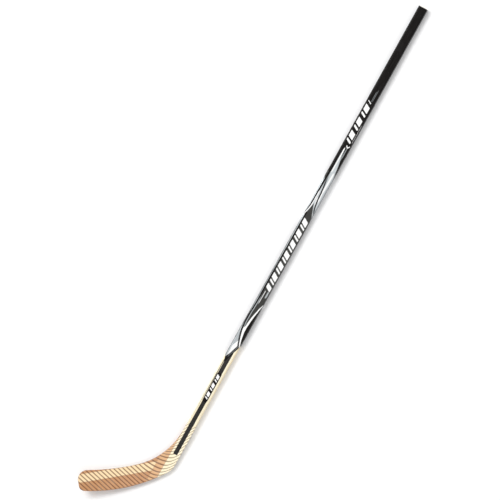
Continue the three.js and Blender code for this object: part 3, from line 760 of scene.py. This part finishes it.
def wood_grain_group():
    """Sawn wood: growth rings round a far axis, bent by slow noise, with fine pores drawn out along X. The
    fraction of radius over spacing is how far through a ring a point lies, and six tenths is darkest."""
    tree, given, result = new_group(
        "Wood grain",
        {"Vector": ("Vector", None), "Ring Spacing": ("Float", 0.002), "Figure": ("Float", 1.0)},
        ["Rings", "Pores", "Tone"],
    )
    place = given["Vector"]
    slow = noise(tree, mapped(tree, place, (3.0, 60.0, 60.0)))
    apart = add(tree, "ShaderNodeSeparateXYZ", Vector=place).outputs
    y, z = plus(tree, apart[1], 0.011), plus(tree, apart[2], 0.060)
    radius = maths(tree, "SQRT", plus(tree, times(tree, y, y), times(tree, z, z)))
    wobble = times(tree, minus(tree, slow, 0.5), given["Figure"])
    rings = plus(tree, maths(tree, "DIVIDE", radius, given["Ring Spacing"]), times(tree, wobble, 4.0))
    from_dark = maths(tree, "ABSOLUTE", minus(tree, maths(tree, "FRACT", rings), 0.6))
    pores = noise(tree, mapped(tree, place, (35.0, 1400.0, 1400.0)), detail=2.0)
    put(tree, result["Rings"], spread_to(tree, from_dark, 0.0, 0.5, 1.0, 0.0))
    put(tree, result["Pores"], spread_to(tree, pores, 0.56, 0.72, 0.0, 1.0))
    put(tree, result["Tone"], noise(tree, mapped(tree, place, (2.2, 18.0, 18.0)), detail=2.0))
    return tree


def handling_wear_group():
    """Light use: fine scuffs drawn out along the stick, and soft patches of dulled surface."""
    tree, given, result = new_group("Handling wear", {"Amount": ("Float", 0.5)}, ["Scuffs", "Dulling"])
    place = object_place(tree)
    fine = noise(tree, mapped(tree, place, (60.0, 700.0, 700.0)), detail=4.0, Roughness=0.6)
    soft = noise(tree, place, 28.0, 4.0)
    put(tree, result["Scuffs"], times(tree, spread_to(tree, fine, 0.60, 0.78, 0.0, 1.0), given["Amount"]))
    put(tree, result["Dulling"], times(tree, spread_to(tree, soft, 0.42, 0.70, 0.0, 1.0), given["Amount"]))
    return tree


WOOD_GRAIN = wood_grain_group()
HANDLING_WEAR = handling_wear_group()


def group_node(tree, group, **values):
    """A shared group placed in a material with its own values. An underscore in a name stands for a space."""
    made = tree.nodes.new("ShaderNodeGroup")
    made.node_tree = group
    for key, value in values.items():
        put(tree, made.inputs[key.replace("_", " ")], value)
    return made.outputs


def bump_from(tree, shader, height, distance, strength=1.0):
    """Fine relief from a height pattern."""
    bump = add(tree, "ShaderNodeBump", Strength=strength, Distance=distance, Height=height)
    put(tree, shader.inputs["Normal"], bump.outputs[0])


# ------------------------------------------------------------------ materials


def sawn_wood(name, pale, dark, spacing, figure, turn=0.0):
    """Sawn wood under clear lacquer, its grain along X or turned to lie along the blade. Gives the material,
    its tree, its shader and its colour, for more to be laid over it."""
    material, tree, shader = new_material(name)
    turned = mapped(tree, object_place(tree), turn=-turn)
    grain = group_node(tree, WOOD_GRAIN, Vector=turned, Ring_Spacing=spacing, Figure=figure)
    worn = group_node(tree, HANDLING_WEAR, Amount=0.5)
    patches = times(tree, minus(tree, grain["Tone"], 0.5), 0.9)
    share = plus(tree, times(tree, grain["Rings"], 0.55), patches, clamp=True)
    colour = mix(tree, share, pale, dark)
    colour = mix(tree, times(tree, grain["Pores"], 0.25), colour, dark)
    put(tree, shader.inputs["Base Color"], colour)
    put(tree, shader.inputs["Roughness"], spread_to(tree, worn["Dulling"], 0.0, 0.5, 0.38, 0.52))
    shader.inputs["Coat Weight"].default_value = 0.6
    shader.inputs["Coat Roughness"].default_value = 0.16
    bump_from(tree, shader, plus(tree, grain["Pores"], grain["Rings"]), 0.00006, 0.5)
    return material, tree, shader, colour


def wood(*recipe):
    """The same wood, with nothing laid over it."""
    return sawn_wood(*recipe)[0]


def pinstriped_veneer():
    """Face veneer with the print's thin tail, a grey line that runs down beside the blade-side corner. The
    line is where Y, levelled for its slope along X, comes near its place."""
    line_start, slope, line_place = -0.446, 0.0126, 0.0090
    material, tree, shader, colour = sawn_wood(
        "face_veneer", srgb(246, 236, 206), srgb(234, 214, 170), spacing=0.0034, figure=0.8
    )
    apart = add(tree, "ShaderNodeSeparateXYZ", Vector=object_place(tree)).outputs
    levelled = plus(tree, apart[1], times(tree, plus(tree, apart[0], -line_start), slope))
    off = maths(tree, "ABSOLUTE", minus(tree, levelled, line_place))
    thin = spread_to(tree, off, 0.0009, 0.0015, 1.0, 0.0)
    length = spread_to(tree, apart[0], -0.66, -0.45, 0.0, 0.95)
    put(tree, shader.inputs["Base Color"], mix(tree, times(tree, thin, length), colour, srgb(80, 76, 70)))
    return material


def strip_fibres():
    """Charcoal fibre and resin: long fine filaments, satin, with a faint sheen from its resin."""
    material, tree, shader = new_material("fibre_strip")
    strands = noise(tree, mapped(tree, object_place(tree), (18.0, 2200.0, 2200.0)))
    worn = group_node(tree, HANDLING_WEAR, Amount=0.6)
    colour = mix(tree, spread_to(tree, strands, 0.35, 0.68, 0.0, 1.0), srgb(22, 21, 20), srgb(52, 50, 47))
    colour = mix(tree, times(tree, worn["Scuffs"], 0.5), colour, srgb(120, 118, 112))
    put(tree, shader.inputs["Base Color"], colour)
    put(tree, shader.inputs["Roughness"], spread_to(tree, worn["Dulling"], 0.0, 0.6, 0.34, 0.55))
    shader.inputs["Specular IOR Level"].default_value = 0.2
    shader.inputs["Coat Weight"].default_value = 0.1
    bump_from(tree, shader, strands, 0.00005, 0.6)
    return material


def printed_inks():
    """Film inks from the mesh's masks: black, charcoal, hatched silver and white, under a clear layer. The
    black mask also holds a painted shade and the white one a painted glint.
    """
    material, tree, shader = new_material("printed_film")
    flat = add(tree, "ShaderNodeUVMap", {"uv_map": "Print"}).outputs[0]
    slanted = mapped(tree, flat, turn=math.radians(58))
    hatch = add(
        tree, "ShaderNodeTexWave", {"wave_type": "BANDS"}, Vector=slanted, Scale=150.0, Distortion=0.4
    ).outputs["Fac"]
    streaks = noise(tree, mapped(tree, flat, (14.0, 900.0, 1.0)))
    worn = group_node(tree, HANDLING_WEAR, Amount=0.55)
    black, silver, white = (attribute(tree, "ink_" + name) for name in ("black", "silver", "white"))
    white = spread_to(tree, white, 0.3, 0.7, 0.0, 1.0)
    black = spread_to(tree, black, 0.1, 0.8, 0.0, 1.0)

    ground = mix(tree, black, srgb(60, 60, 58), srgb(10, 7, 6))
    ground = mix(tree, spread_to(tree, streaks, 0.4, 0.7, 0.0, 0.3), ground, srgb(50, 47, 45))
    metal = mix(tree, spread_to(tree, hatch, 0.25, 0.85, 0.0, 0.6), srgb(206, 212, 215), srgb(146, 152, 156))
    metal = mix(tree, spread_to(tree, streaks, 0.35, 0.65, 0.0, 0.45), metal, srgb(226, 231, 233))
    colour = mix(tree, white, mix(tree, silver, ground, metal), srgb(248, 248, 247))
    colour = mix(tree, times(tree, worn["Scuffs"], 0.25), colour, srgb(150, 148, 144))
    put(tree, shader.inputs["Base Color"], colour)
    put(tree, shader.inputs["Roughness"], spread_to(tree, worn["Dulling"], 0.0, 0.6, 0.20, 0.32))
    put(tree, shader.inputs["Metallic"], times(tree, silver, 0.2))
    shader.inputs["Specular IOR Level"].default_value = 0.14
    shader.inputs["Coat Weight"].default_value = 0.04
    shader.inputs["Coat Roughness"].default_value = 0.12
    raised = plus(tree, white, times(tree, silver, 0.6))
    bump_from(tree, shader, plus(tree, raised, times(tree, worn["Scuffs"], -0.4)), 0.00004, 0.7)
    return material


def resin_over_glass():
    """Glass rovings wetted out with clear resin, so that the woods' colours come through: dark resin in the
    grooves, there also as painted shade of the recesses between rovings, bright crowns, fine filaments along
    each roving, and a darker rim, which is painted shade on the rounded edges. The brown darkens towards the
    toe as painted shade."""
    material, tree, shader = new_material("glass_sock")
    along_blade = mapped(tree, object_place(tree), turn=-BLADE_ANGLE)
    grain = group_node(tree, WOOD_GRAIN, Vector=along_blade, Ring_Spacing=0.0026, Figure=1.2)
    worn = group_node(tree, HANDLING_WEAR, Amount=0.6)
    names = ("rope", "phase", "along", "rim", "boards", "block", "cream", "glue")
    masks = {name: attribute(tree, name) for name in names}

    # Painted shade: the brown darkens towards the toe, where the blade curves away from the light.
    toe_shade = spread_to(tree, masks["along"], 0.10, 0.22, 0.0, 1.0)
    brown = mix(tree, toe_shade, srgb(210, 158, 112), srgb(200, 146, 92))
    brown = mix(tree, grain["Rings"], brown, srgb(188, 132, 88))
    cream = mix(tree, grain["Rings"], srgb(252, 228, 184), srgb(243, 210, 162))
    block = mix(tree, grain["Rings"], srgb(232, 188, 142), srgb(212, 162, 114))
    colour = mix(tree, masks["boards"], srgb(255, 240, 207), mix(tree, masks["cream"], brown, cream))
    colour = mix(tree, masks["block"], colour, block)
    colour = mix(tree, times(tree, masks["glue"], 0.5), colour, srgb(120, 84, 52))

    # Grooves darkened: resin-rich seams between rovings, and painted shade of the recesses, olive-grey on the
    # pale heel.
    groove = minus(tree, 1.0, masks["rope"], clamp=True)
    woody = plus(tree, masks["boards"], masks["block"], clamp=True)
    groove_resin_and_shade = mix(tree, woody, srgb(138, 122, 84), srgb(108, 60, 30))
    colour = mix(tree, times(tree, groove, 0.92), colour, groove_resin_and_shade)
    over_rovings, down_rovings = times(tree, masks["phase"], 14.0), times(tree, masks["along"], 30.0)
    lay = add(tree, "ShaderNodeCombineXYZ", X=over_rovings, Y=down_rovings).outputs[0]
    filaments = noise(tree, lay)
    colour = mix(tree, spread_to(tree, filaments, 0.5, 0.75, 0.0, 0.3), colour, srgb(255, 244, 218))
    # Painted shade: a darker brown along the blade's rounded edges, near its outline.
    edge = times(tree, masks["rim"], times(tree, woody, 0.6))
    put(tree, shader.inputs["Base Color"], mix(tree, edge, colour, srgb(140, 92, 54)))
    put(tree, shader.inputs["Roughness"], spread_to(tree, worn["Dulling"], 0.0, 0.6, 0.26, 0.42))
    shader.inputs["Coat Weight"].default_value = 0.6
    shader.inputs["Coat Roughness"].default_value = 0.14
    bump_from(tree, shader, plus(tree, filaments, times(tree, masks["rope"], 2.0)), 0.00012, 0.7)
    return material


# ------------------------------------------------------------------ pieces


def fit(piece, material, slot, *nodes):
    """Gives a piece its material and body, and lets it stand for its CAD nodes. The slot it is given is not
    used.
    """
    piece.data.materials.clear()
    piece.data.materials.append(material)
    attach(piece, "root")
    if nodes:
        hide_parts(*nodes)


def keep(node, material):
    """A CAD node shown as it is, with a finished material."""
    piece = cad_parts[node]
    piece.data.materials.clear()
    piece.data.materials.append(material)


def build_shaft():
    """The shaft: a middle lamella between two cheeks and two veneers, a strip in each face, film, label."""
    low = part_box("core_front")[0].x + LENGTH / 2
    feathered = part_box("veneer_front")[0].x + LENGTH / 2
    film_low = FILM_LOW.x + LENGTH / 2
    middle_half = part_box("core_middle")[1].z - MIDDLE
    veneer_low = WOOD_THICK / 2 - VENEER
    heel = np.linspace(low, HEEL_START, 40)
    taper = np.linspace(HEEL_START, TAPER[1], 80)[1:]
    cheek = ply_rings(np.concatenate([heel, taper, [film_low, LENGTH]]), middle_half, veneer_low)
    face_at = np.concatenate([np.linspace(feathered, TAPER[1], 40), [LENGTH]])
    face = ply_rings(face_at, veneer_low, WOOD_THICK / 2)

    core = wood("core_lamella", srgb(246, 230, 192), srgb(214, 182, 128), 0.0018, 1.0)
    veneer = pinstriped_veneer()
    fit(tube("front_lamella", cheek), core, "aspen", "core_front")
    fit(tube("back_lamella", on_back(cheek)), core, "aspen", "core_back")
    fit(tube("front_veneer", face), veneer, "birch", "veneer_front")
    fit(tube("back_veneer", on_back(face)), veneer, "birch", "veneer_back")
    middle = wood("middle_lamella", srgb(238, 216, 170), srgb(200, 164, 110), 0.0016, 1.2)
    keep("core_middle", middle)

    strip, fibres = strip_rings(), strip_fibres()
    fit(tube("front_strip", strip), fibres, "graphite", "strip_front")
    fit(tube("back_strip", on_back(strip)), fibres, "graphite", "strip_back")

    inks = printed_inks()
    fit(film_piece(), inks, "printed_film", "graphic_film")
    fit(label_piece(), inks, "printed_film")


def build_blade():
    """The blade: brown and cream boards, the heel's block, and the sock round them all."""
    brown = wood("brown_board", srgb(214, 160, 124), srgb(178, 118, 80), 0.0026, 1.2, BLADE_ANGLE)
    cream = wood("cream_board", srgb(253, 226, 180), srgb(236, 196, 140), 0.0030, 1.0, BLADE_ANGLE)
    block = wood("heel_block", srgb(226, 178, 138), srgb(190, 140, 100), 0.0024, 1.2)
    for node in ("board_bottom", "board_top_heel", "board_top_toe"):
        keep(node, brown)
    keep("board_middle", cream)
    keep("heel_block", block)
    fit(sock_piece(), resin_over_glass(), "glass_resin", "glass_sock")


# ------------------------------------------------------------------ stage

VIEW_TARGET = Vector((-0.0806, 0.1026, MIDDLE))
VIEW_LEAN = math.radians(9)  # the camera stands a little to the shaft's outer side
VIEW_TURN = math.radians(60.95)  # how far the shaft leans up from level in the view
VIEW_WIDTH = 1.4915  # what the view takes in at the stick
LENS, SENSOR = 240.0, 36.0
DAYLIGHT = 0.57
LIGHTS = {  # place to the right, up and back towards the camera, then power and size
    "key": ((-4.4, 2.6, 4.8), 225, 3.0),
    "over": ((-1.7, 4.8, 4.8), 120, 5.0),
    "fill": ((2.7, -4.0, 5.0), 92, 5.0),
}
FLOOR_HALF, FLOOR_DROP = 14.0, 0.0006


def view_axes():
    """The view's right and up, and the way from the stick to the camera."""
    back = Vector((0, -math.sin(VIEW_LEAN), math.cos(VIEW_LEAN)))
    over = Vector((0, math.cos(VIEW_LEAN), math.sin(VIEW_LEAN)))
    along = Vector((1, 0, 0))
    right = along * math.cos(VIEW_TURN) - over * math.sin(VIEW_TURN)
    up = along * math.sin(VIEW_TURN) + over * math.cos(VIEW_TURN)
    return right, up, back


def place_camera():
    """A long lens, so far back that the view's width at the stick is VIEW_WIDTH."""
    right, up, back = view_axes()
    camera = bpy.data.objects.new("camera", bpy.data.cameras.new("camera"))
    camera.data.lens, camera.data.sensor_width = LENS, SENSOR
    camera.data.clip_end = 50
    basis = Matrix((right, up, back)).transposed().to_4x4()
    camera.matrix_world = Matrix.Translation(VIEW_TARGET + back * (VIEW_WIDTH * LENS / SENSOR)) @ basis
    bpy.context.scene.collection.objects.link(camera)
    bpy.context.scene.camera = camera


def place_lights():
    """Three wide soft lights that face the stick, and an even white surround."""
    right, up, back = view_axes()
    for name, ((sideways, upwards, nearer), power, size) in LIGHTS.items():
        light = bpy.data.objects.new(name, bpy.data.lights.new(name, "AREA"))
        light.data.energy, light.data.size = power, size
        light.location = VIEW_TARGET + right * sideways + up * upwards + back * nearer
        light.rotation_mode = "QUATERNION"
        light.rotation_quaternion = (VIEW_TARGET - light.location).to_track_quat("-Z", "Y")
        bpy.context.scene.collection.objects.link(light)

    world = bpy.data.worlds.new("studio")
    world.use_nodes = True
    surround = world.node_tree.nodes["Background"].inputs
    surround["Color"].default_value = (1.0, 1.0, 1.0, 1.0)
    surround["Strength"].default_value = DAYLIGHT
    bpy.context.scene.world = world
    bpy.context.scene.view_settings.view_transform = "Standard"


def lay_floor():
    """A plain pale floor just under the stick."""
    across = FLOOR_HALF * np.array([[-1, -1], [1, -1], [1, 1], [-1, 1]])
    corners = np.column_stack([across, np.full(4, -FLOOR_DROP)])
    mesh = bpy.data.meshes.new("floor")
    mesh.from_pydata(corners.tolist(), [], [[0, 1, 2, 3]])
    floor = bpy.data.objects.new("floor", mesh)
    bpy.context.scene.collection.objects.link(floor)
    material, tree, shader = new_material("pale_floor")
    soft = noise(tree, object_place(tree), 1.5, 2.0)
    put(tree, shader.inputs["Base Color"], mix(tree, soft, srgb(251, 251, 252), srgb(253, 253, 253)))
    shader.inputs["Roughness"].default_value = 0.85
    mesh.materials.append(material)


build_shaft()
build_blade()
place_camera()
place_lights()
lay_floor()
